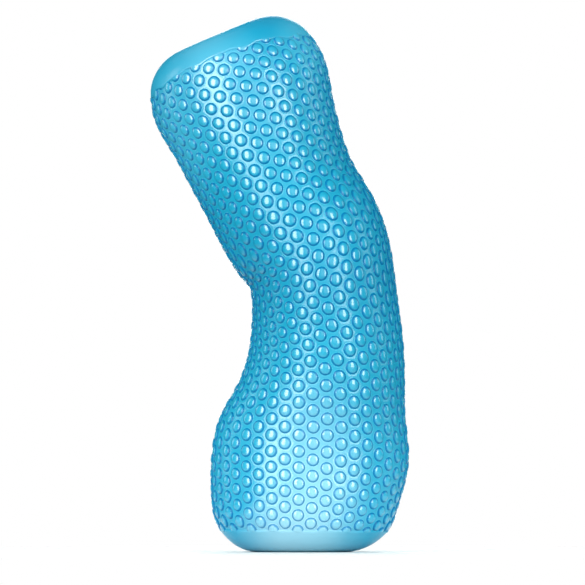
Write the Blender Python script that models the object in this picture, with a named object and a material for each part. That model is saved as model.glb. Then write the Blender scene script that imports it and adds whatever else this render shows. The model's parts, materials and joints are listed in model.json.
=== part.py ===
"""Gel squeeze cylinder: a studded rubber sleeve filled with gel and closed by two smooth end caps.

The cylinder is modelled as it is in a squeezing hand: standing on its lower cap, pinched at the
waist and bent towards -X.  The sleeve and its gel are elastic, so each is cut into five
stretches, and the four cuts between them carry the ways the cylinder gives: two bends in the XZ
plane, a twist about its own line and a bend sideways.  Each cut is a wedge that closes at the
joint's limit.  Inside it, a ball on one gel stretch sits in a cup in the next one.

Lengths are in millimetres and angles in degrees until a mesh is made.  The origin is the middle
of the flat base, +Z is up and -Y is the side that faces the viewer.
"""

import math

import bpy
import numpy as np
from mathutils import Matrix

MILLIMETRE = 0.001

# The squeezed shape, given at stations an equal distance apart along the centreline.
LENGTH = 150.0
STATION_SPACING = 15.0
LEAN = (0, -6, -11, -9, 1, 8, 31, 25, 21, 21, 23)  # from upright, towards -X
HALF_WIDTH = (22.5, 26.0, 27.0, 23.0, 21.0, 20.0, 21.5, 21.5, 23.0, 25.0, 21.0)
HALF_DEPTH = (21.0, 22.0, 22.5, 25.5, 28.0, 29.5, 29.0, 27.5, 26.0, 24.5, 21.0)
BASE_ROUND = 10.0  # radius between the flat base and the side
TOP_ROUND = 8.0

WALL = 2.5  # thickness of the sleeve and the caps
LOWER_CAP_HEIGHT = 5.8
UPPER_CAP_HEIGHT = 7.6
GAP = 0.3  # between pieces that touch

# The cuts, in order up the centreline: name, place along it, what turns, and the range of turn.
# A positive bend leans further towards -X, and a negative one straightens the cylinder.
CUTS = (
    ("lower_bend", 36.0, "bend", (-12.0, 12.0)),
    ("waist_twist", 59.0, "twist", (-15.0, 15.0)),
    ("upper_bend", 85.0, "bend", (-24.0, 12.0)),
    ("side_bend", 114.0, "side", (-12.0, 12.0)),
)
WEDGE_SPARE = 0.6  # how much further than its range each wedge opens
BALL_RADIUS = 13.5
BALL_CLEARANCE = 0.7

SEGMENTS = 32  # facets around each solid
RING_SPACING = 5.0
BALL_RINGS = 5
CAP_RINGS = 5
FINE_STEP = 0.25  # spacing of the points at which the centreline is worked out

BLUE_RUBBER = (0.022, 0.402, 0.716, 1.0)
PALE_RUBBER = (0.055, 0.479, 0.753, 1.0)
CLEAR_GEL = (0.235, 0.694, 0.888, 1.0)


def between_stations(values, s):
    """Smooth curve through a value at each station (a Catmull-Rom spline), read at s."""
    values = np.asarray(values, float)
    start = np.clip((s // STATION_SPACING).astype(int), 0, len(values) - 2)
    t = s / STATION_SPACING - start
    ends = (2 * values[0] - values[1], 2 * values[-1] - values[-2])
    padded = np.concatenate([ends[:1], values, ends[1:]])
    a, b, c, d = (padded[start + k] for k in range(4))
    cubic = 3 * b - a - 3 * c + d
    square = 2 * a - 5 * b + 4 * c - d
    return b + 0.5 * t * (c - a + t * (square + t * cubic))


def running_sum(slopes, step):
    """Integral of evenly spaced slopes, by the trapezium rule, starting at nought."""
    steps = 0.5 * (slopes[1:] + slopes[:-1]) * step
    return np.concatenate([[0.0], np.cumsum(steps)])


FINE = np.linspace(0.0, LENGTH, int(LENGTH / FINE_STEP) + 1)
FINE_LEAN = np.radians(between_stations(LEAN, FINE))
CENTRE_X = running_sum(-np.sin(FINE_LEAN), FINE_STEP)
CENTRE_Z = running_sum(np.cos(FINE_LEAN), FINE_STEP)


def round_off(depth, radius):
    """How far a rounded edge has drawn the side in, at a depth below the flat end."""
    depth = np.clip(depth, 0.0, radius)
    return radius - np.sqrt(radius**2 - (radius - depth) ** 2)


def half_axes(s, inset):
    """Half width and half depth of the cross-section at s, on a skin that lies inset below the surface."""
    drawn_in = inset + round_off(s - inset, BASE_ROUND - inset)
    drawn_in = drawn_in + round_off(LENGTH - s - inset, TOP_ROUND - inset)
    return between_stations(HALF_WIDTH, s) - drawn_in, between_stations(HALF_DEPTH, s) - drawn_in


def directions(s):
    """The centreline's direction at s, and the direction across it in the XZ plane."""
    lean = np.interp(s, FINE, FINE_LEAN)
    nought = np.zeros_like(lean)
    along = np.stack([-np.sin(lean), nought, np.cos(lean)], axis=-1)
    across = np.stack([np.cos(lean), nought, np.sin(lean)], axis=-1)
    return along, across


def centre(s):
    """Point of the centreline at s."""
    x = np.interp(s, FINE, CENTRE_X)
    return np.stack([x, np.zeros_like(x), np.interp(s, FINE, CENTRE_Z)], axis=-1)


ANGLES = np.radians(np.arange(SEGMENTS) * 360.0 / SEGMENTS)


def surface(s, angle, inset):
    """Points on the skin that lies inset below the surface."""
    width, depth = half_axes(s, inset)
    across = directions(s)[1]
    points = centre(s) + (width * np.cos(angle))[..., None] * across
    points[..., 1] += depth * np.sin(angle)
    return points


class Cut:
    """The place where one stretch ends and the next one starts."""

    def __init__(self, name, place, turn, limits):
        self.name = name
        self.place = place
        self.turn = turn
        self.limits = limits
        self.hinge = centre(np.array(place))
        self.along, self.across = directions(np.array(place))

    def local(self, points):
        """Points as distances across, to the back and along, measured from the hinge."""
        offset = points - self.hinge
        return offset @ self.across, offset[..., 1], offset @ self.along

    def world(self, across, back, along):
        """Turns such distances back into points."""
        points = self.hinge + across[..., None] * self.across + along[..., None] * self.along
        points[..., 1] += back
        return points

    def wedge(self, across, back):
        """Height of the wedge's face above the hinge: half of what closes on that side at the limit."""
        low, high = (math.radians(abs(a) + WEDGE_SPARE) / 2 for a in self.limits)
        if self.turn == "bend":
            opening = np.where(across < 0, math.tan(high), math.tan(low)) * np.abs(across)
        elif self.turn == "side":
            opening = np.where(back < 0, math.tan(high), math.tan(low)) * np.abs(back)
        else:
            opening = np.zeros_like(across)
        return opening + GAP

    def edge(self, inset, side):
        """Where along the centreline each facet's corner meets the face below (-1) or above (+1)."""
        reach = side * np.linspace(-6.0, 16.0, 441)
        found = []
        for angle in ANGLES:
            s = self.place + reach
            across, back, along = self.local(surface(s, np.full_like(s, angle), inset))
            excess = side * along - self.wedge(across, back)
            found.append(np.interp(0.0, excess, s))
        return np.array(found)


def level(s):
    """An edge at one place along the centreline."""
    return np.full(SEGMENTS, float(s))


def stretch_places(lower_cut, upper_cut, inset):
    """Where a stretch has its rings: places along the centreline for each corner, from edge to edge."""
    first = lower_cut.edge(inset, 1) if lower_cut else level(LOWER_CAP_HEIGHT + GAP)
    last = upper_cut.edge(inset, -1) if upper_cut else level(LENGTH - UPPER_CAP_HEIGHT - GAP)
    count = math.ceil(np.max(last - first) / RING_SPACING) + 1
    return [first + share * (last - first) for share in np.linspace(0.0, 1.0, count)]


def cap_places(end, height, round_radius, inset):
    """Where a cap has its rings, from its flat end to its rim, spaced evenly round its rounded edge."""
    inwards = 1 if end == 0.0 else -1
    radius = round_radius - inset
    turn = math.acos((round_radius - height) / radius)
    angles = np.linspace(0.0, turn, CAP_RINGS)
    return [level(end + inwards * (round_radius - radius * math.cos(angle))) for angle in angles]


def ball_end(cut, side):
    """Rings from a gel stretch's end face to the tip of its ball (side -1) or its cup (side +1)."""
    radius = BALL_RADIUS if side < 0 else BALL_RADIUS + BALL_CLEARANCE
    across = radius * np.cos(ANGLES)
    back = radius * np.sin(ANGLES)
    rings = [cut.world(across, back, side * cut.wedge(across, back))]
    start = 0 if side < 0 else 1
    for step in range(start, BALL_RINGS):
        tip = math.radians(90.0 * step / BALL_RINGS)
        height = np.full(SEGMENTS, radius * math.sin(tip))
        rings.append(cut.world(across * math.cos(tip), back * math.cos(tip), height))
    pole = cut.world(np.array(0.0), np.array(0.0), np.array(radius))
    return rings, pole


def mesh_from_rings(name, rings, first_pole=None, last_pole=None):
    """Closed mesh of quads between rings, with triangles to its poles, or joined round end to end."""
    points = [point for ring in rings for point in ring]
    faces = []

    def corner(ring, k):
        return ring * SEGMENTS + k % SEGMENTS

    joined = first_pole is None
    for ring in range(len(rings) if joined else len(rings) - 1):
        above = (ring + 1) % len(rings)
        for k in range(SEGMENTS):
            faces.append((corner(ring, k), corner(ring, k + 1), corner(above, k + 1), corner(above, k)))
    if not joined:
        points += [first_pole, last_pole]
        low, high = len(points) - 2, len(points) - 1
        top = len(rings) - 1
        for k in range(SEGMENTS):
            faces.append((corner(0, k + 1), corner(0, k), low))
            faces.append((corner(top, k), corner(top, k + 1), high))
    mesh = bpy.data.meshes.new(name)
    mesh.from_pydata([tuple(float(c) * MILLIMETRE for c in point) for point in points], [], faces)
    mesh.validate()
    mesh.shade_smooth()
    mesh.set_sharp_from_angle(angle=math.radians(35.0))
    return mesh


def rubber(name, colour, roughness):
    """Glossy moulded rubber."""
    material = bpy.data.materials.new(name)
    material.use_nodes = True
    shader = material.node_tree.nodes["Principled BSDF"]
    shader.inputs["Base Color"].default_value = colour
    shader.inputs["Roughness"].default_value = roughness
    shader.inputs["Metallic"].default_value = 0.0
    material.diffuse_color = colour
    return material


def add_piece(name, mesh, material, axis):
    """Makes the piece's object, with its origin on the axis that it turns about."""
    mesh.materials.append(material)
    piece = bpy.data.objects.new(name, mesh)
    bpy.context.scene.collection.objects.link(piece)
    if axis is not None:
        mesh.transform(Matrix.Translation(-axis.matrix_world.translation))
        piece.parent = axis
    return piece


def add_axes(cuts):
    """One empty on each hinge, each parented to the one below."""
    axes = []
    below = None
    for cut in cuts:
        axis = bpy.data.objects.new(cut.name + "_axis", None)
        axis.empty_display_size = BALL_RADIUS * MILLIMETRE
        bpy.context.scene.collection.objects.link(axis)
        start = below.hinge if below else np.zeros(3)
        axis.parent = axes[-1] if axes else None
        axis.location = [float(c) * MILLIMETRE for c in cut.hinge - start]
        axes.append(axis)
        below = cut
    bpy.context.view_layer.update()
    return axes


def skin(places, inset):
    """Rings of the skin that lies inset below the surface."""
    return [surface(s, ANGLES, inset) for s in places]


def sleeve_mesh(number, lower_cut, upper_cut):
    """A stretch of the sleeve: a tube whose ends are level at a cap and follow the wedge at a cut."""
    outer = skin(stretch_places(lower_cut, upper_cut, 0.0), 0.0)
    inner = skin(stretch_places(lower_cut, upper_cut, WALL), WALL)
    return mesh_from_rings(f"sleeve_{number}", outer + inner[::-1])


def gel_mesh(number, lower_cut, upper_cut):
    """A stretch of the gel: it fills the sleeve and caps, with a cup below and a ball above."""
    inset = WALL + GAP
    rings = skin(stretch_places(lower_cut, upper_cut, WALL), inset)
    if lower_cut:
        cup, low_pole = ball_end(lower_cut, 1)
        rings = cup[::-1] + rings
    else:
        rings = skin(cap_places(0.0, LOWER_CAP_HEIGHT, BASE_ROUND, inset), inset) + rings
        low_pole = centre(np.array(inset))
    if upper_cut:
        ball, high_pole = ball_end(upper_cut, -1)
        rings = rings + ball
    else:
        rings = rings + skin(cap_places(LENGTH, UPPER_CAP_HEIGHT, TOP_ROUND, inset), inset)[::-1]
        high_pole = centre(np.array(LENGTH - inset))
    return mesh_from_rings(f"gel_{number}", rings, low_pole, high_pole)


def cap_mesh(name, end, height, round_radius):
    """A cup-shaped cap: flat end, rounded edge and a short smooth wall."""
    outer = skin(cap_places(end, height, round_radius, 0.0), 0.0)
    inner = skin(cap_places(end, height, round_radius, WALL), WALL)
    outer_pole = centre(np.array(end))
    inner_pole = centre(np.array(end + WALL if end == 0.0 else end - WALL))
    if end == 0.0:
        return mesh_from_rings(name, outer + inner[::-1], outer_pole, inner_pole)
    return mesh_from_rings(name, inner + outer[::-1], inner_pole, outer_pole)


def build():
    for old in list(bpy.data.objects):
        bpy.data.objects.remove(old, do_unlink=True)

    cuts = [Cut(*facts) for facts in CUTS]
    axes = add_axes(cuts)
    sleeve_material = rubber("studded_rubber", BLUE_RUBBER, 0.22)
    cap_material = rubber("smooth_rubber", PALE_RUBBER, 0.18)
    gel_material = rubber("gel", CLEAR_GEL, 0.1)

    # Stretch n lies between the cut below it and the cut above it, and turns with the one below.
    for number in range(1, len(cuts) + 2):
        lower_cut = cuts[number - 2] if number > 1 else None
        upper_cut = cuts[number - 1] if number <= len(cuts) else None
        axis = axes[number - 2] if number > 1 else None
        sleeve = sleeve_mesh(number, lower_cut, upper_cut)
        add_piece(f"sleeve_{number}", sleeve, sleeve_material, axis)
        add_piece(f"gel_{number}", gel_mesh(number, lower_cut, upper_cut), gel_material, axis)

    lower_cap = cap_mesh("lower_end_cap", 0.0, LOWER_CAP_HEIGHT, BASE_ROUND)
    add_piece("lower_end_cap", lower_cap, cap_material, None)
    upper_cap = cap_mesh("upper_end_cap", LENGTH, UPPER_CAP_HEIGHT, TOP_ROUND)
    add_piece("upper_end_cap", upper_cap, cap_material, axes[-1])


build()
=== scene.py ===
"""Looks of the gel squeeze cylinder: studded sleeve, smooth end caps, gel, light and camera.

The sleeve is one skin covered in rows of low round studs.  It is split between the joints into four
pieces.  Each split runs along the flat rubber between studs.

Lengths are in millimetres and angles in degrees until a mesh is made.  +Z is up and -Y is the side
that faces the viewer.
"""

import json
import math

import bpy
import numpy as np
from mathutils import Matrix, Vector


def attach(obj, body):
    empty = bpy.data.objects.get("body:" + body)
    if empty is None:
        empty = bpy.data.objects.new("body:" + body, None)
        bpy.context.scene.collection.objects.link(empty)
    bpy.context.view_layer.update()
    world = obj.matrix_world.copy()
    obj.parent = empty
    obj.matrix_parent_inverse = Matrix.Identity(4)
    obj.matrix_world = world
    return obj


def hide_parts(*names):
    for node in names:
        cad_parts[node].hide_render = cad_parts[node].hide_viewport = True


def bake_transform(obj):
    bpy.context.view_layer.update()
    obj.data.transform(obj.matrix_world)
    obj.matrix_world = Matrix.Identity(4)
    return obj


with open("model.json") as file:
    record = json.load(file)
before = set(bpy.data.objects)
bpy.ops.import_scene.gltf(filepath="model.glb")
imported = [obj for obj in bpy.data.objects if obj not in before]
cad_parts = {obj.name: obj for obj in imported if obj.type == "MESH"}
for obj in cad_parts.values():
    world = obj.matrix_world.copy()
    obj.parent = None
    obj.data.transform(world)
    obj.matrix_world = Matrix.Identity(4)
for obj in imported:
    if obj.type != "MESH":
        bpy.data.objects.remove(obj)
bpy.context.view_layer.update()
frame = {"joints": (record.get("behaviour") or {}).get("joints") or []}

MILLIMETRE = 0.001

# The squeezed shape, the same as the CAD model's: values at stations along the centreline.
LENGTH = 150.0
STATION_SPACING = 15.0
LEAN = (0, -6, -11, -9, 1, 8, 31, 25, 21, 21, 23)  # from upright, towards -X
HALF_WIDTH = (22.5, 26.0, 27.0, 23.0, 21.0, 20.0, 21.5, 21.5, 23.0, 25.0, 21.0)
HALF_DEPTH = (21.0, 22.0, 22.5, 25.5, 28.0, 29.5, 29.0, 27.5, 26.0, 24.5, 21.0)
BASE_ROUND = 10.0
TOP_ROUND = 8.0
WALL = 2.5
GAP = 0.3
FINE_STEP = 0.25

# The studs stand in columns.  Each column is half a pitch higher or lower than its neighbours.
# Squeezed, the columns wind round the cylinder a little and the rows lean less sharply than it does.
COLUMNS = 40
STUD_PITCH = (4.2, 4.35, 4.5, 4.6, 4.65, 4.85, 4.85, 4.6, 4.5, 4.4, 4.2)  # at the stations
FIRST_ROW = -0.36
END_MARGIN = 0.6  # rows left bare at each end of the centreline
COLUMN_TWIST = (15, 14, 9, 2, -5, -10, -7, -3, -3.5, -6, -7)
ROW_LEAN = (0, -3, -2, 1, 7, 15, 20, 22, 21, 22, 23)
STUD_SIZE = 0.395  # radius as a share of the pitch, since studs stretch with the skin
STUD_HEIGHT = 0.58
STUD_RINGS = (0.3, 0.5, 0.68, 0.82, 0.92, 0.98, 1.06, 1.14)  # as shares of the stud's radius
DOME_POWER = 2.7  # higher is flatter on top
DOME_EDGE_POWER = 0.75  # lower is steeper at the edge
GROOVE_SHARE = 1.06
GROOVE_REACH = 0.096  # each way from the groove's middle, as a share of the stud's radius
GROOVE_DEPTH = 0.09
CELL_SHOULDER = 0.31  # half the length of a six-sided cell's short sides, in columns
POINTS_PER_SIDE = 3
WELD_STEPS = 400  # points of neighbouring cells join when they agree to one in so many
STUDS_FROM = 5.8  # where the studs start and stop along the centreline
STUDS_TO = 142.1
# The uneven lines there: each wave's height, how many go round, and its phase in radians.
LOWER_LINE_WAVES = ((0.8, 1, 1.5708), (0.08, 9, 0.0))
UPPER_LINE_WAVES = ((1.4, 2, 4.9708), (0.35, 11, 0.6), (0.25, 20, 0.0))

# About where the sleeve is split along the centreline, once between each two joints.
SPLIT_PLACES = (48.0, 70.0, 101.0)

INNER_SEGMENTS = 80
INNER_SPACING = 2.5
GEL_SEGMENTS = 64
CAP_SEGMENTS = 160
ROUND_RINGS = 12
FLAT_SHARES = (0.3, 0.6, 0.85, 0.97)  # rings on a cap's flat face, as shares of its radius
LIP_PROFILE_START = 1.5  # how far short of the studs the lip begins
# The lip: how far past the line where the studs stop, and how high above the cap's surface.
LIP_PROFILE = (
    (-1.2, 0.0),
    (-0.7, 0.04),
    (-0.3, 0.07),
    (0.0, 0.03),
    (0.18, -0.12),
    (0.26, -0.3),
    (0.28, -0.8),
)
END_DROP = 1.6  # how far the upper end's front and back lie below its middle
END_DROP_FROM = 138.0
SKIN_INSET = 0.32  # how far the rubber between studs lies below the caps' surface
AWAY_FROM_STUDS = 2.0  # the stud_share of points with no stud near, in stud radii

# Colours are linear.  The rubber's changes with its height, as a share of the length; the darker tone
# round the waist is painted shade.
RUBBER_AND_SHADE_BY_HEIGHT = [
    (0.0, (0.02, 0.29, 0.475)),
    (0.14, (0.008, 0.29, 0.46)),
    (0.34, (0.004, 0.265, 0.42)),
    (0.5, (0.003, 0.225, 0.375)),
    (0.72, (0.004, 0.258, 0.41)),
    (0.9, (0.005, 0.268, 0.435)),
    (1.0, (0.003, 0.2, 0.375)),
]
CLOUD_COLOUR = (0.018, 0.355, 0.54)
CLOUD_STRENGTH = 0.25
# Colour, middle and half sizes (in metres) of patches of painted light, where the rubber is painted paler
# as if lit:
# a painted glow low on the front and on the lower cap's front, a painted sheen on the upper cap's front,
# and painted highlights on the shoulder on the -X side and on the upper cap's corner on the +X side.
PAINTED_LIGHT_PATCHES = (
    ((0.17, 0.44, 0.58), (0.003, -0.022, 0.006), (0.017, 0.030, 0.047)),
    ((0.23, 0.47, 0.60), (-0.004, -0.020, 0.002), (0.017, 0.020, 0.016)),
    ((0.055, 0.34, 0.51), (-0.026, -0.022, 0.137), (0.015, 0.020, 0.012)),
    ((0.045, 0.35, 0.515), (-0.039, -0.014, 0.106), (0.016, 0.028, 0.032)),
    ((0.04, 0.36, 0.53), (0.004, -0.012, 0.141), (0.013, 0.022, 0.012)),
)
PAINTED_LIGHT_CORE = 0.2  # the share of a patch that is palest
# Painted shade round the foot of each stud, a painted highlight ring just outside it and a slightly
# lighter painted top.
STUD_PAINTED_SHADE_AND_HIGHLIGHT = [  # by the distance from a stud's middle, in stud diameters
    (0.0, (1.0, 1.04, 1.03)),
    (0.33, (1.0, 1.0, 1.0)),
    (0.4, (0.36, 0.58, 0.77)),
    (0.49, (0.22, 0.45, 0.67)),
    (0.53, (1.35, 1.18, 1.12)),
    (0.6, (1.0, 1.0, 1.0)),
]
# How strongly the rubber shines: by its height, as a share of the length, and by the distance from
# a stud's middle, in stud diameters.
SHINE_BY_HEIGHT = [
    (0.0, 0.05),
    (0.06, 0.13),
    (0.13, 0.42),
    (0.25, 0.46),
    (0.42, 0.26),
    (0.68, 0.26),
    (0.82, 0.62),
    (1.0, 0.6),
]
SHINE_BY_SHARE = [(0.0, 1.0), (0.34, 1.0), (0.41, 0.2), (0.49, 0.15), (0.54, 1.0)]
COAT_BY_SHARE = [(0.0, 1.0), (0.34, 1.0), (0.42, 0.15), (0.5, 0.1), (0.56, 0.2)]
CAP_COAT = 0.05
COAT_ROUGHNESS = 0.1
ROUGHNESS = 0.33
ROUGHNESS_SPREAD = 0.03
RUBBER_IOR = 1.65
GRAIN_STRENGTH = 0.12
GRAIN_DEPTH = 0.0001

GEL_COLOURS = [(0.3, (0.18, 0.62, 0.85)), (0.7, (0.28, 0.74, 0.92))]
GEL_ROUGHNESS = (0.06, 0.14)
GEL_IOR = 1.4

# Roughly how many times each noise varies in a metre, and the stretch of its values that is used.
CLOUD_SCALE = 38.0
CLOUD_SPAN = (0.35, 0.65)
SATIN_SCALE = 160.0
GRAIN_SCALE = 900.0
GEL_SCALE = 60.0
GEL_SATIN_SCALE = 220.0
NOISE_SPAN = (0.3, 0.7)

# The camera, the lights and the floor are in metres, apart from the floor's drop.
AIM = (-0.0025, 0.0, 0.0719)
LENS = 275.0
SENSOR = 36.0
CAMERA_DISTANCE = 1.24
CAMERA_HEIGHT = 0.012

BACKDROP = (1.0, 1.0, 1.0)
ROOM_COLOUR = (0.15, 0.7, 1.0)
ROOM_STRENGTH = 0.2
LIGHT_COLOUR = (1.0, 0.975, 0.9)
FLOOR_RADIUS = 0.2
FLOOR_FADE_FROM = 0.04
FLOOR_DROP = 0.05  # millimetres below the flat, so that the two don't touch
FLOOR_RINGS = 12
FLOOR_SEGMENTS = 96
FLOOR_SCALE = 40.0
FLOOR_GREYS = [(0.3, 0.80), (0.7, 0.84)]
FLOOR_ROUGHNESS = 0.8

# Name, azimuth, elevation, distance, size, power, and whether the rubber mirrors it.
LIGHTS = (
    ("key_softbox", -37.0, 10.0, 0.8, (0.42, 0.8), 9.0, True),
    ("strip_right", 41.0, 9.0, 0.8, (0.3, 0.7), 5.8, True),
    ("front_fill", 8.0, 12.0, 0.8, (0.36, 0.8), 1.2, True),
    ("edge_right", 102.0, 14.0, 0.9, (0.14, 0.6), 0.8, True),
    ("edge_left", -104.0, 14.0, 0.9, (0.14, 0.6), 0.8, True),
    ("side_right", 88.0, 12.0, 0.9, (0.4, 0.6), 0.9, False),
    ("side_left", -88.0, 30.0, 0.9, (0.4, 0.6), 1.1, False),
    ("top_fill", 40.0, 60.0, 1.0, (0.8, 0.5), 1.6, False),
    ("back_left", -150.0, 45.0, 0.9, (0.5, 0.5), 3.2, False),
    ("back_right", 150.0, 45.0, 0.9, (0.5, 0.5), 3.2, False),
    ("back_strip", 180.0, 8.0, 0.9, (0.28, 0.6), 3.0, True),
)


def between_stations(values, s):
    """Smooth curve through a value at each station (a Catmull-Rom spline), read at s."""
    values = np.asarray(values, float)
    start = np.clip((s // STATION_SPACING).astype(int), 0, len(values) - 2)
    t = s / STATION_SPACING - start
    ends = (2 * values[0] - values[1], 2 * values[-1] - values[-2])
    padded = np.concatenate([ends[:1], values, ends[1:]])
    a, b, c, d = (padded[start + k] for k in range(4))
    cubic = 3 * b - a - 3 * c + d
    square = 2 * a - 5 * b + 4 * c - d
    return b + 0.5 * t * (c - a + t * (square + t * cubic))


def running_sum(slopes, step):
    """Integral of evenly spaced slopes, by the trapezium rule, starting at nought."""
    steps = 0.5 * (slopes[1:] + slopes[:-1]) * step
    return np.concatenate([[0.0], np.cumsum(steps)])


FINE = np.linspace(0.0, LENGTH, int(LENGTH / FINE_STEP) + 1)
FINE_LEAN = np.radians(between_stations(LEAN, FINE))
CENTRE_X = running_sum(-np.sin(FINE_LEAN), FINE_STEP)
CENTRE_Z = running_sum(np.cos(FINE_LEAN), FINE_STEP)
FINE_ROW = FIRST_ROW + running_sum(1.0 / between_stations(STUD_PITCH, FINE), FINE_STEP)


def round_off(depth, radius):
    """How far a rounded edge has drawn the side in, at a depth below the flat end."""
    depth = np.clip(depth, 0.0, radius)
    return radius - np.sqrt(radius**2 - (radius - depth) ** 2)


def half_axes(s, inset):
    """Half width and half depth of the cross-section at s, on a skin inset below the surface."""
    drawn_in = inset + round_off(s - inset, BASE_ROUND - inset)
    drawn_in = drawn_in + round_off(LENGTH - s - inset, TOP_ROUND - inset)
    return between_stations(HALF_WIDTH, s) - drawn_in, between_stations(HALF_DEPTH, s) - drawn_in


def surface(s, turn, inset=0.0):
    """Points on the skin at s along the centreline and turn round it, in even steps of its girth."""
    width, depth = half_axes(s, inset)
    angle = 2.0 * np.pi * turn
    angle = angle - (depth**2 - width**2) / (4.0 * (width**2 + depth**2)) * np.sin(2.0 * angle)
    dropping = np.clip((s - END_DROP_FROM) / (LENGTH - END_DROP_FROM), 0.0, 1.0) ** 2
    s = s - END_DROP * dropping * (depth / HALF_DEPTH[-1] * np.sin(angle)) ** 2
    lean = np.interp(s, FINE, FINE_LEAN)
    across = width * np.cos(angle)
    x = np.interp(s, FINE, CENTRE_X) + across * np.cos(lean)
    z = np.interp(s, FINE, CENTRE_Z) + across * np.sin(lean)
    return np.stack([x, depth * np.sin(angle), z], axis=-1)


def centre(s):
    """Point of the centreline at s."""
    s = np.asarray(s, float)
    x = np.interp(s, FINE, CENTRE_X)
    return np.stack([x, np.zeros_like(x), np.interp(s, FINE, CENTRE_Z)], axis=-1)


def outwards(s, turn):
    """Unit normals of the smooth surface."""
    step = 0.05
    low, high = np.clip(s - step, 0.0, LENGTH), np.clip(s + step, 0.0, LENGTH)
    up = surface(high, turn) - surface(low, turn)
    round_it = surface(s, turn + step / LENGTH) - surface(s, turn - step / LENGTH)
    normal = np.cross(round_it, up)
    return normal / np.linalg.norm(normal, axis=-1, keepdims=True)


def row_to_s(row):
    return np.interp(row, FINE_ROW, FINE)


def pattern_place(column, row):
    """Where a place in the pattern of studs lies: how far along the centreline, and its turn."""
    s = row_to_s(row)
    turn = column / COLUMNS + between_stations(COLUMN_TWIST, s) / 360.0
    across = half_axes(s, 0.0)[0] * np.cos(2.0 * np.pi * turn)
    slope = np.radians(between_stations(ROW_LEAN, s) - between_stations(LEAN, s))
    return s + across * np.tan(slope), turn % 1.0


def girth(s):
    """Length once round the cross-section, near enough for spacing studs."""
    width, depth = half_axes(s, 0.0)
    return 2.0 * np.pi * np.sqrt((width**2 + depth**2) / 2.0)


def dome(share):
    """Height of a stud at a share of its radius: nearly flat on top, steep at the edge, then a groove."""
    inside = np.clip(share, 0.0, 1.0)
    height = STUD_HEIGHT * (1.0 - inside**DOME_POWER) ** DOME_EDGE_POWER
    groove = np.clip(1.0 - np.abs(share - GROOVE_SHARE) / GROOVE_REACH, 0.0, 1.0)
    return height - GROOVE_DEPTH * groove


def waves(angle, parts):
    """Sum of waves round the cylinder, each a height, a whole number round and a phase."""
    return sum(height * np.sin(count * angle + phase) for height, count, phase in parts)


def cell_border():
    """Points round a six-sided cell, in columns across and rows up, starting at its right corner."""
    inner, outer = CELL_SHOULDER, 1.0 - CELL_SHOULDER
    corners = [(outer, 0), (inner, 0.5), (-inner, 0.5), (-outer, 0), (-inner, -0.5), (inner, -0.5)]
    points = []
    for k in range(6):
        start, end = np.array(corners[k]), np.array(corners[(k + 1) % 6])
        for step in range(POINTS_PER_SIDE):
            points.append(start + (end - start) * step / POINTS_PER_SIDE)
    return np.array(points)


def stud_places():
    """Column and row of every stud, whole or cut through by the uneven lines."""
    rows = np.arange(math.ceil(FINE_ROW[-1]))
    column, level = np.meshgrid(np.arange(COLUMNS), rows, indexing="ij")
    column = column.ravel().astype(float)
    level = level.ravel() + 0.5 * (column % 2)
    kept = (level > FINE_ROW[0] + END_MARGIN) & (level < FINE_ROW[-1] - END_MARGIN)
    return column[kept], level[kept]


def cell_points(column, level, border):
    """Column and row of each cell's points: its stud's middle, the rings round that, and its border."""
    # A stud is round in millimetres, so its rings are scaled from columns and rows.
    middle = row_to_s(level)
    column_size = girth(middle) / COLUMNS
    row_size = between_stations(STUD_PITCH, middle)
    heading = np.arctan2(border[:, 1] * row_size.mean(), border[:, 0] * column_size.mean())
    ring_x = np.concatenate([[0.0], np.outer(STUD_RINGS, np.cos(heading)).ravel()])
    ring_y = np.concatenate([[0.0], np.outer(STUD_RINGS, np.sin(heading)).ravel()])
    u = column[:, None] + ring_x * STUD_SIZE * (row_size / column_size)[:, None]
    row = level[:, None] + ring_y * STUD_SIZE
    u = np.concatenate([u, column[:, None] + border[:, 0]], axis=1)
    row = np.concatenate([row, level[:, None] + border[:, 1]], axis=1)
    return u, row


def cell_faces(count):
    """Faces of one cell, with a count of points in each ring: triangles (ending in -1), then quads."""
    faces = [(0, 1 + k, 1 + (k + 1) % count, -1) for k in range(count)]
    for ring in range(len(STUD_RINGS)):
        near, far = 1 + ring * count, 1 + (ring + 1) * count
        for k in range(count):
            following = (k + 1) % count
            faces.append((near + k, far + k, far + following, near + following))
    return np.array(faces)


def nearest_stud(u, row):
    """Distance from the nearest stud's middle, as a share of the stud's radius."""
    best = np.full(u.shape, np.inf)
    nearest_column = np.round(u)
    for beside in (-1, 0, 1):
        column = nearest_column + beside
        offset = 0.5 * (column % 2)
        level = np.round(row - offset) + offset
        middle = row_to_s(level)
        x = (u - column) * girth(middle) / COLUMNS / between_stations(STUD_PITCH, middle)
        best = np.minimum(best, np.hypot(x, row - level) / STUD_SIZE)
    return best


def stud_limits(turn):
    """The uneven lines where the studs stop, above the lower cap and below the upper one."""
    angle = 2.0 * np.pi * turn
    return STUDS_FROM + waves(angle, LOWER_LINE_WAVES), STUDS_TO + waves(angle, UPPER_LINE_WAVES)


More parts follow.
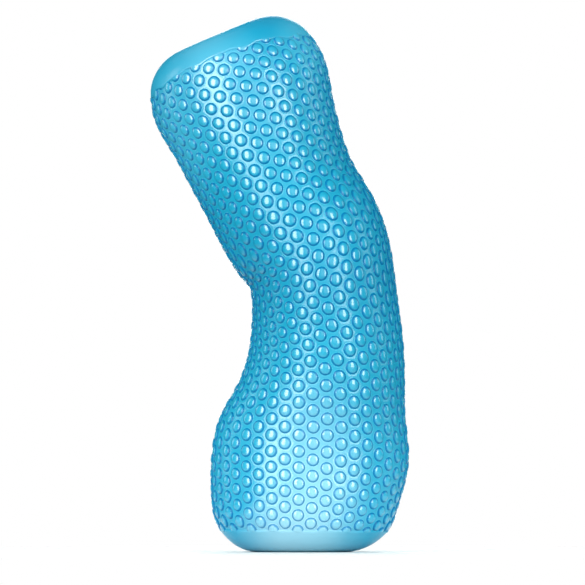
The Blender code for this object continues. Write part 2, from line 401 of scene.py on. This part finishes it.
class Skin:
    """The whole studded skin.

    Each point has its column, row, place and normal, and its distance from the nearest stud's middle.
    Each face has its corners and the row of its cell.
    """

    def __init__(self):
        border = cell_border()
        column, level = stud_places()
        u, row = cell_points(column, level, border)
        faces = cell_faces(len(border))
        offsets = np.arange(len(column))[:, None, None] * u.shape[1]
        faces = np.where(faces[None] < 0, -1, faces[None] + offsets)
        self.levels = np.repeat(level, faces.shape[1]).tolist()
        self.weld(u, row, faces.reshape(-1, 4))
        for side in (0, 1):
            s, turn = pattern_place(self.u, self.row)
            limit = stud_limits(turn)[side]
            self.clip(s - limit if side == 0 else limit - s)
        self.levels = np.array(self.levels)

        self.s, self.turn = pattern_place(self.u, self.row)
        rise = dome(self.share) - SKIN_INSET
        self.points = surface(self.s, self.turn) + rise[:, None] * outwards(self.s, self.turn)
        self.normals = self.point_normals()

    def weld(self, u, row, faces):
        """Joins the points that neighbouring cells share."""
        share = nearest_stud(u, row).ravel()
        u, row = u.ravel() % COLUMNS, row.ravel()
        key = np.round(np.stack([u, row], axis=1) * WELD_STEPS).astype(np.int64)
        key[:, 0] %= COLUMNS * WELD_STEPS
        _, first, index = np.unique(key, axis=0, return_index=True, return_inverse=True)
        self.u, self.row, self.share = u[first], row[first], share[first]
        faces = np.where(faces < 0, -1, index.ravel()[faces])
        self.corners = [[corner for corner in face if corner >= 0] for face in faces.tolist()]

    def clip(self, excess):
        """Cuts every face where the excess at its corners falls below nought."""
        whole, levels, added, crossings = [], [], [], {}
        for face, level in zip(self.corners, self.levels):
            inside = [excess[corner] >= 0.0 for corner in face]
            if not any(inside):
                continue
            kept = []
            for k, corner in enumerate(face):
                following = (k + 1) % len(face)
                if inside[k]:
                    kept.append(corner)
                if inside[k] != inside[following]:
                    edge = (min(corner, face[following]), max(corner, face[following]))
                    if edge not in crossings:
                        crossings[edge] = len(self.u) + len(added)
                        added.append(edge)
                    kept.append(crossings[edge])
            whole.append(kept)
            levels.append(level)
        a, b = np.array(added).T
        share = excess[a] / (excess[a] - excess[b])
        step = (self.u[b] - self.u[a] + COLUMNS / 2) % COLUMNS - COLUMNS / 2
        u = (self.u[a] + share * step) % COLUMNS
        row = self.row[a] + share * (self.row[b] - self.row[a])
        self.u, self.row = np.concatenate([self.u, u]), np.concatenate([self.row, row])
        self.share = np.concatenate([self.share, nearest_stud(u, row)])
        self.corners, self.levels = whole, levels

    def point_normals(self):
        """Area-weighted normals, so that pieces split from this skin still shade as one."""
        triangles = np.array([(f[0], f[k], f[k + 1]) for f in self.corners for k in range(1, len(f) - 1)])
        a, b, c = (self.points[triangles[:, k]] for k in range(3))
        area = np.cross(b - a, c - a)
        normals = np.zeros_like(self.points)
        for k in range(3):
            np.add.at(normals, triangles[:, k], area)
        return normals / np.maximum(np.linalg.norm(normals, axis=1, keepdims=True), 1e-12)


def edge_loops(corners):
    """The open edges of a run of faces, as closed loops of points."""
    edges = [(face[k - 1], corner) for face in corners for k, corner in enumerate(face)]
    known = set(edges)
    after = {b: a for a, b in edges if (b, a) not in known}
    loops = []
    while after:
        start = next(iter(after))
        loop = [start]
        point = after.pop(start)
        while point != start:
            loop.append(point)
            point = after.pop(point)
        loops.append(loop)
    return loops


def rising(loop, turns):
    """The loop in the direction in which turn rises, starting where turn is lowest."""
    steps = (np.roll(turns[loop], -1) - turns[loop] + 0.5) % 1.0 - 0.5
    loop = loop if steps.sum() > 0 else loop[::-1]
    start = int(np.argmin(turns[loop]))
    return loop[start:] + loop[:start]


def end_wall(outer, turns, inner_start):
    """Triangles between an outer loop and a ring of the inner skin, facing up the centreline."""
    outer = rising(outer, turns)
    outer_turns = list(turns[outer]) + [turns[outer[0]] + 1.0]
    inner_turns = list(np.arange(INNER_SEGMENTS + 1) / INNER_SEGMENTS)
    i = j = 0
    triangles = []
    while i < len(outer) or j < INNER_SEGMENTS:
        a, b = outer[i % len(outer)], inner_start + j % INNER_SEGMENTS
        inner_is_done = j == INNER_SEGMENTS
        if inner_is_done or (i < len(outer) and outer_turns[i + 1] <= inner_turns[j + 1]):
            i += 1
            triangles.append((a, outer[i % len(outer)], b))
        else:
            j += 1
            triangles.append((a, inner_start + j % INNER_SEGMENTS, b))
    return triangles


def make_object(name, points, faces, material):
    """Mesh object from points in millimetres."""
    mesh = bpy.data.meshes.new(name)
    mesh.from_pydata((np.asarray(points) * MILLIMETRE).tolist(), [], [list(f) for f in faces])
    mesh.shade_smooth()
    mesh.materials.append(material)
    piece = bpy.data.objects.new(name, mesh)
    bpy.context.scene.collection.objects.link(piece)
    return piece


def quads_between(count, segments, start=0, inwards=False):
    """Quads between a count of rings, whose points are numbered from start."""
    faces = []
    for ring in range(count - 1):
        first = start + ring * segments
        for k in range(segments):
            a, b = first + k, first + (k + 1) % segments
            facing_out = (a, b, b + segments, a + segments)
            facing_in = (a, a + segments, b + segments, b)
            faces.append(facing_in if inwards else facing_out)
    return faces


def inner_rings(rows, segments, inset):
    """Rings on a smooth inner skin, parallel to the rows of studs."""
    count = math.ceil(float(row_to_s(rows[1]) - row_to_s(rows[0])) / INNER_SPACING) + 1
    columns = np.arange(segments) / segments * COLUMNS
    return [
        surface(*pattern_place(columns, np.full(segments, row)), inset)
        for row in np.linspace(*rows, count)
    ]


def sleeve_piece(name, skin, levels, material):
    """One stretch of the sleeve: studded outside, smooth inside, with an end wall at each end.

    Returns the piece and the points round its lower and upper edges.
    """
    inside = (skin.levels > levels[0]) & (skin.levels < levels[1])
    chosen = [skin.corners[k] for k in np.flatnonzero(inside)]
    used = np.unique(np.concatenate([np.array(face) for face in chosen]))
    renumber = {int(old): new for new, old in enumerate(used)}
    faces = [[renumber[corner] for corner in face] for face in chosen]
    loops = edge_loops(faces)
    turns = skin.u[used] / COLUMNS
    along = skin.s[used]
    outer_count = len(used)

    ends = np.interp((STUDS_FROM, STUDS_TO), FINE, FINE_ROW)
    inner = inner_rings(np.clip(levels, *ends), INNER_SEGMENTS, WALL)
    ring_count = len(inner)
    points = np.concatenate([skin.points[used]] + inner)
    faces += quads_between(ring_count, INNER_SEGMENTS, outer_count, inwards=True)

    loops.sort(key=lambda loop: along[loop].mean())
    lower, upper = loops[0], loops[-1]
    for a, b, c in end_wall(lower, turns, outer_count):
        faces.append((a, c, b))
    faces += end_wall(upper, turns, outer_count + (ring_count - 1) * INNER_SEGMENTS)

    piece = make_object(name, points, faces, material)
    share = np.full(len(points), AWAY_FROM_STUDS)
    share[:outer_count] = skin.share[used]
    attribute = piece.data.attributes.new("stud_share", "FLOAT", "POINT")
    attribute.data.foreach_set("value", share.astype(np.float32))
    normals = np.zeros((len(points), 3))
    normals[:outer_count] = skin.normals[used]
    piece.data.normals_split_custom_set_from_vertices(normals.tolist())
    return piece, (points[lower], points[upper])


def closed_from_rings(name, rings, poles, material):
    """Closed mesh of quads between rings, with triangles to its poles."""
    segments = len(rings[0])
    points = np.concatenate(rings + [poles[0][None], poles[1][None]])
    low, high = len(points) - 2, len(points) - 1
    faces = quads_between(len(rings), segments)
    top = (len(rings) - 1) * segments
    for k in range(segments):
        following = (k + 1) % segments
        faces.append((following, k, low))
        faces.append((top + k, top + following, high))
    return make_object(name, points, faces, material)


def cap_piece(name, at_top, material):
    """A cup-shaped cap: flat end, rounded edge, and a low uneven lip where the studs start."""
    end = LENGTH if at_top else 0.0
    inwards = -1.0 if at_top else 1.0
    radius = TOP_ROUND if at_top else BASE_ROUND
    turns = np.arange(CAP_SEGMENTS) / CAP_SEGMENTS
    limit = stud_limits(turns)[1 if at_top else 0]
    depth_of_limit = (limit - end) * inwards
    middle = centre(end)

    def ring(depth, inset=0.0, rise=0.0):
        s = np.broadcast_to(end + inwards * depth, turns.shape)
        points = surface(s, turns, inset)
        return points + rise * outwards(s, turns) if rise else points

    edge = ring(0.0)
    outer = [middle + share * (edge - middle) for share in FLAT_SHARES]
    last = np.arccos(1.0 - (depth_of_limit - LIP_PROFILE_START) / radius)
    outer += [ring(radius * (1.0 - np.cos(share * last))) for share in np.linspace(0.0, 1.0, ROUND_RINGS)]
    outer += [ring(depth_of_limit + past, rise=rise) for past, rise in LIP_PROFILE]
    inner = [
        ring(WALL + share * (depth_of_limit + LIP_PROFILE[-1][0] - WALL), inset=WALL)
        for share in np.linspace(0.0, 1.0, ROUND_RINGS)
    ]
    if at_top:
        return closed_from_rings(name, inner + outer[::-1], (centre(LENGTH - WALL), middle), material)
    return closed_from_rings(name, outer + inner[::-1], (middle, centre(WALL)), material)


def gel_piece(name, levels, material):
    """One stretch of the gel, which fills the sleeve and its caps."""
    inset = WALL + GAP
    ends = np.interp((inset, LENGTH - inset), FINE, FINE_ROW)
    rings = inner_rings(np.clip(levels, *ends), GEL_SEGMENTS, inset)
    poles = (rings[0].mean(axis=0), rings[-1].mean(axis=0))
    return closed_from_rings(name, rings, poles, material)


class Graph:
    """Short names for adding and joining a material's nodes."""

    def __init__(self, name):
        self.material = bpy.data.materials.new(name)
        self.material.use_nodes = True
        self.tree = self.material.node_tree
        self.shader = self.tree.nodes["Principled BSDF"]

    def add(self, kind, inputs=None, **settings):
        node = self.tree.nodes.new(kind)
        for key, value in settings.items():
            setattr(node, key, value)
        for key, value in (inputs or {}).items():
            if isinstance(value, bpy.types.NodeSocket):
                self.tree.links.new(value, node.inputs[key])
            else:
                node.inputs[key].default_value = value
        return node

    def set(self, **values):
        for key, value in values.items():
            socket = self.shader.inputs[key.replace("_", " ")]
            if isinstance(value, bpy.types.NodeSocket):
                self.tree.links.new(value, socket)
            else:
                socket.default_value = value

    def ramp(self, value, stops):
        """Colour ramp through (place, colour) stops."""
        node = self.add("ShaderNodeValToRGB", {"Fac": value})
        elements = node.color_ramp.elements
        while len(elements) < len(stops):
            elements.new(0.5)
        for element, (place, colour) in zip(elements, stops):
            element.position = place
            element.color = (*colour, 1.0)
        return node.outputs["Color"]

    def scaled(self, value, low, high, to_low, to_high):
        node = self.add(
            "ShaderNodeMapRange",
            {"Value": value, "From Min": low, "From Max": high, "To Min": to_low, "To Max": to_high},
        )
        return node.outputs["Result"]

    def mix(self, factor, a, b, blend="MIX"):
        node = self.add("ShaderNodeMix", data_type="RGBA", blend_type=blend)
        for key, value in (("Factor", factor), ("A", a), ("B", b)):
            socket = [i for i in node.inputs if i.name == key and i.enabled][0]
            if isinstance(value, bpy.types.NodeSocket):
                self.tree.links.new(value, socket)
            elif key == "Factor":
                socket.default_value = value
            else:
                socket.default_value = (*value, 1.0)
        return [o for o in node.outputs if o.enabled][0]

    def vector(self, operation, *values):
        return self.add("ShaderNodeVectorMath", dict(enumerate(values)), operation=operation)

    def noise(self, place, scale, detail=2.0):
        node = self.add("ShaderNodeTexNoise", {"Vector": place, "Scale": scale, "Detail": detail})
        return node.outputs["Fac"]


def greys(stops):
    return [(place, (value, value, value)) for place, value in stops]


def rubber_material(name, studded):
    """Glossy, slightly cloudy sky-blue rubber with patches of painted light, painted shade round the
    waist and round the foot of each stud, and a painted highlight ring just outside each stud.
    """
    graph = Graph(name)
    place = graph.add("ShaderNodeTexCoord").outputs["Object"]
    height = graph.add("ShaderNodeSeparateXYZ", {"Vector": place}).outputs["Z"]
    along = graph.scaled(height, 0.0, LENGTH * MILLIMETRE, 0.0, 1.0)
    # The rubber's colour by height, with painted shade round the waist.
    body = graph.ramp(along, RUBBER_AND_SHADE_BY_HEIGHT)
    cloud = graph.scaled(graph.noise(place, CLOUD_SCALE), *CLOUD_SPAN, 0.0, 1.0)
    body = graph.mix(cloud, body, graph.mix(CLOUD_STRENGTH, body, CLOUD_COLOUR))
    # Patches of painted light: the rubber is painted paler where it should look lit.
    for colour, middle, sizes in PAINTED_LIGHT_PATCHES:
        offset = graph.vector("SUBTRACT", place, middle).outputs["Vector"]
        offset = graph.vector("DIVIDE", offset, sizes).outputs["Vector"]
        distance = graph.vector("LENGTH", offset).outputs["Value"]
        body = graph.mix(graph.scaled(distance, PAINTED_LIGHT_CORE, 1.0, 1.0, 0.0), body, colour)
    shine = graph.ramp(along, greys(SHINE_BY_HEIGHT))
    coat = CAP_COAT
    if studded:
        share = graph.add("ShaderNodeAttribute", attribute_name="stud_share").outputs["Fac"]
        share = graph.scaled(share, 0.0, AWAY_FROM_STUDS, 0.0, 1.0)
        # Painted shade round each stud's foot and a painted highlight ring just outside it.
        body = graph.mix(1.0, body, graph.ramp(share, STUD_PAINTED_SHADE_AND_HIGHLIGHT), "MULTIPLY")
        shine = graph.mix(1.0, shine, graph.ramp(share, greys(SHINE_BY_SHARE)), "MULTIPLY")
        coat = graph.ramp(share, greys(COAT_BY_SHARE))
    fine = graph.noise(place, GRAIN_SCALE, 3.0)
    grain = {"Strength": GRAIN_STRENGTH, "Distance": GRAIN_DEPTH, "Height": fine}
    bump = graph.add("ShaderNodeBump", grain).outputs["Normal"]
    satin = (ROUGHNESS - ROUGHNESS_SPREAD, ROUGHNESS + ROUGHNESS_SPREAD)
    roughness = graph.scaled(graph.noise(place, SATIN_SCALE), *NOISE_SPAN, *satin)
    graph.set(
        Base_Color=body,
        Roughness=roughness,
        IOR=RUBBER_IOR,
        Specular_IOR_Level=shine,
        Coat_Weight=coat,
        Coat_Roughness=COAT_ROUGHNESS,
        Normal=bump,
    )
    return graph.material


def gel_material():
    """Pale blue gel, a little uneven in colour and gloss."""
    graph = Graph("clear_gel")
    place = graph.add("ShaderNodeTexCoord").outputs["Object"]
    graph.set(
        Base_Color=graph.ramp(graph.noise(place, GEL_SCALE), GEL_COLOURS),
        Roughness=graph.scaled(graph.noise(place, GEL_SATIN_SCALE), *NOISE_SPAN, *GEL_ROUGHNESS),
        IOR=GEL_IOR,
    )
    return graph.material


def area_light(name, azimuth, elevation, distance, size, strength, mirrored):
    """Softbox at an azimuth from the viewer's side (positive to the right), facing the object."""
    data = bpy.data.lights.new(name, "AREA")
    data.shape = "RECTANGLE"
    data.size, data.size_y = size
    data.energy = strength
    data.color = LIGHT_COLOUR
    light = bpy.data.objects.new(name, data)
    bpy.context.scene.collection.objects.link(light)
    a, e = math.radians(azimuth), math.radians(elevation)
    away = Vector((math.sin(a) * math.cos(e), -math.cos(a) * math.cos(e), math.sin(e)))
    light.location = Vector(AIM) + away * distance
    light.rotation_euler = away.to_track_quat("Z", "Y").to_euler()
    light.visible_camera = False
    light.visible_glossy = mirrored
    return light


def build_world():
    """White backdrop for the camera; a dimmer room for everything the rubber reflects."""
    world = bpy.data.worlds.new("studio")
    bpy.context.scene.world = world
    world.use_nodes = True
    tree = world.node_tree
    tree.nodes.clear()
    seen = tree.nodes.new("ShaderNodeBackground")
    seen.inputs["Color"].default_value = (*BACKDROP, 1.0)
    room = tree.nodes.new("ShaderNodeBackground")
    room.inputs["Color"].default_value = (*ROOM_COLOUR, 1.0)
    room.inputs["Strength"].default_value = ROOM_STRENGTH
    path = tree.nodes.new("ShaderNodeLightPath")
    mix = tree.nodes.new("ShaderNodeMixShader")
    output = tree.nodes.new("ShaderNodeOutputWorld")
    tree.links.new(path.outputs["Is Camera Ray"], mix.inputs["Fac"])
    tree.links.new(room.outputs["Background"], mix.inputs[1])
    tree.links.new(seen.outputs["Background"], mix.inputs[2])
    tree.links.new(mix.outputs["Shader"], output.inputs["Surface"])


def build_floor():
    """A pale floor that fades into the backdrop away from the object."""
    graph = Graph("pale_floor")
    place = graph.add("ShaderNodeTexCoord").outputs["Object"]
    distance = graph.vector("LENGTH", place).outputs["Value"]
    fade = graph.scaled(distance, FLOOR_FADE_FROM, FLOOR_RADIUS, 1.0, 0.0)
    grain = graph.ramp(graph.noise(place, FLOOR_SCALE), greys(FLOOR_GREYS))
    graph.set(Base_Color=grain, Roughness=FLOOR_ROUGHNESS, Alpha=fade)
    angle = 2.0 * np.pi * np.arange(FLOOR_SEGMENTS) / FLOOR_SEGMENTS
    circle = np.stack([np.cos(angle), np.sin(angle), np.zeros_like(angle)], axis=-1)
    radii = np.linspace(0.02, 1.0, FLOOR_RINGS) * FLOOR_RADIUS / MILLIMETRE
    points = np.concatenate([radius * circle for radius in radii] + [np.zeros((1, 3))])
    points[:, 2] = -FLOOR_DROP
    faces = quads_between(FLOOR_RINGS, FLOOR_SEGMENTS, inwards=True)
    for k in range(FLOOR_SEGMENTS):
        faces.append((k, (k + 1) % FLOOR_SEGMENTS, len(points) - 1))
    floor = make_object("floor", points, faces, graph.material)


def build_camera():
    """Long lens, level with the foot of the object and tipped up a little."""
    data = bpy.data.cameras.new("camera")
    data.lens = LENS
    data.sensor_width = SENSOR
    data.clip_start, data.clip_end = 0.05, 20.0
    camera = bpy.data.objects.new("camera", data)
    bpy.context.scene.collection.objects.link(camera)
    camera.location = (AIM[0], -CAMERA_DISTANCE, CAMERA_HEIGHT)
    direction = Vector(AIM) - camera.location
    camera.rotation_euler = direction.to_track_quat("-Z", "Y").to_euler()
    bpy.context.scene.camera = camera


def build():
    skin = Skin()
    studded = rubber_material("studded_rubber", True)
    smooth = rubber_material("smooth_rubber", False)
    gel = gel_material()

    # Splits follow the edges between rows: after a full row in even columns, half a row on in odd.
    split_rows = [round(float(np.interp(s, FINE, FINE_ROW)) - 0.75) + 0.75 for s in SPLIT_PLACES]
    levels = [FINE_ROW[0]] + split_rows + [FINE_ROW[-1]]

    sleeves, edges = [], []
    for k in range(len(frame["joints"])):
        sleeve, sleeve_edges = sleeve_piece(f"studded_sleeve_{k + 1}", skin, levels[k : k + 2], studded)
        sleeves.append(sleeve)
        edges.append(sleeve_edges)
    replaced = (("1",), ("2",), ("3",), ("4", "5"))
    for k, joint in enumerate(frame["joints"]):
        filling = gel_piece(f"gel_filling_{k + 1}", levels[k : k + 2], gel)
        for piece, kind, slot in ((sleeves[k], "sleeve_", "studded_rubber"), (filling, "gel_", "gel")):
            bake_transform(piece)
            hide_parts(*(kind + number for number in replaced[k]))

    for name, at_top, body, node in (
        ("smooth_lower_cap", False, "base", "lower_end_cap"),
        ("smooth_upper_cap", True, "head", "upper_end_cap"),
    ):
        cap = cap_piece(name, at_top, smooth)
        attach(cap, body)
        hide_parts(node)

    build_floor()
    build_world()
    build_camera()
    for facts in LIGHTS:
        area_light(*facts)
    bpy.context.scene.view_settings.view_transform = "Standard"


build()
